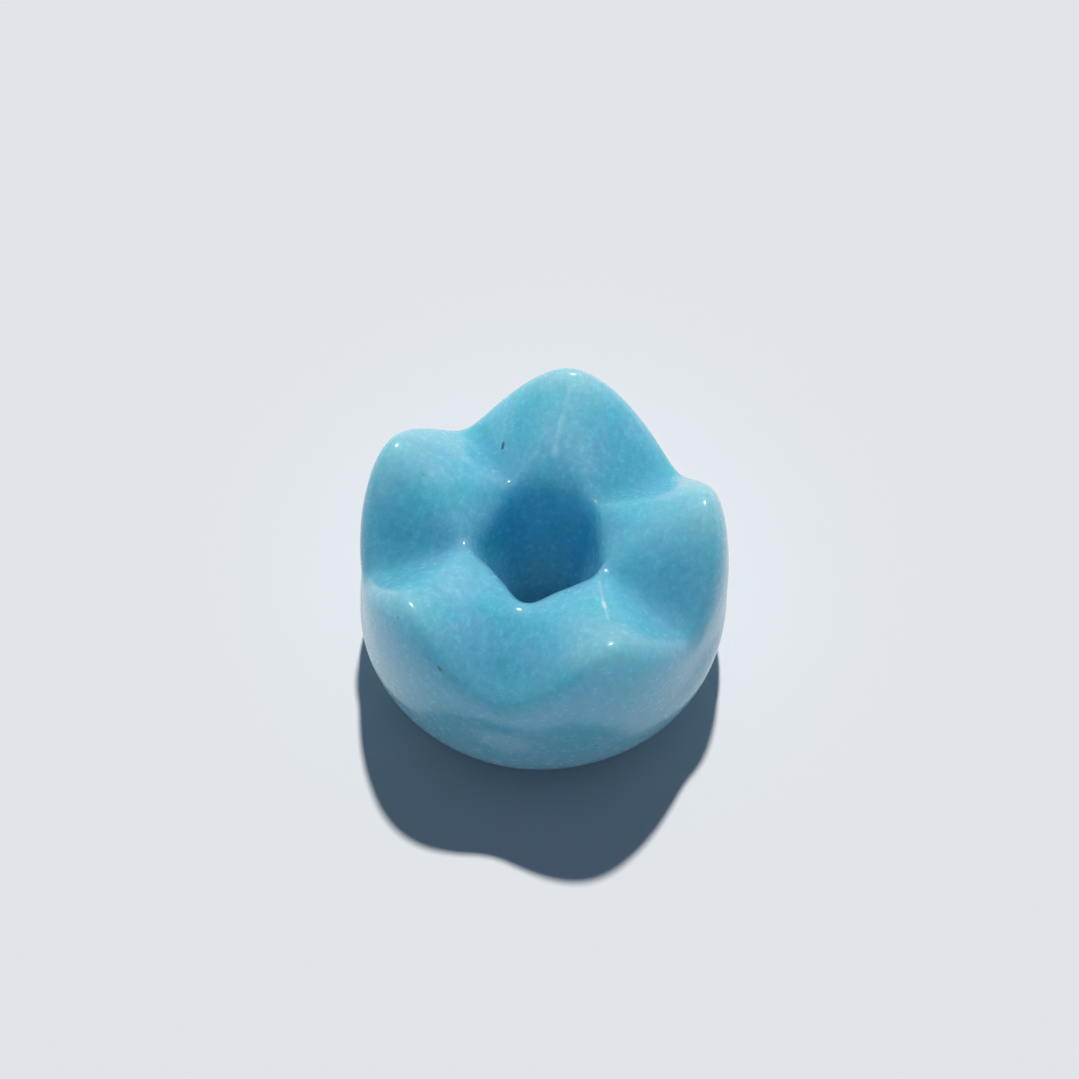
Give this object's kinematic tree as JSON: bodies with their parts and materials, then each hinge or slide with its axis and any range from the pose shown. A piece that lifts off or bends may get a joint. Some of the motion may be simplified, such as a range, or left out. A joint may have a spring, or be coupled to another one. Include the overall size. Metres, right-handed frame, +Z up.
{
  "type": "flower bead",
  "caption": "Tulip-shaped flower bead: a one-piece petalled cup of polished blue stone with a hole for a string through its foot.",
  "frame": {"origin": "middle of the flat foot, on the axis of the stringing hole", "axes": "+Z up along the stringing hole, out of the open cup; +X close to the ridge of the first petal"},
  "size_m": [0.0121, 0.0122, 0.008],
  "materials": {
    "polished_blue_stone": "polished"
  },
  "bodies": {
    "root": {"flower_bead": "polished_blue_stone"}
  },
  "joints": []
}
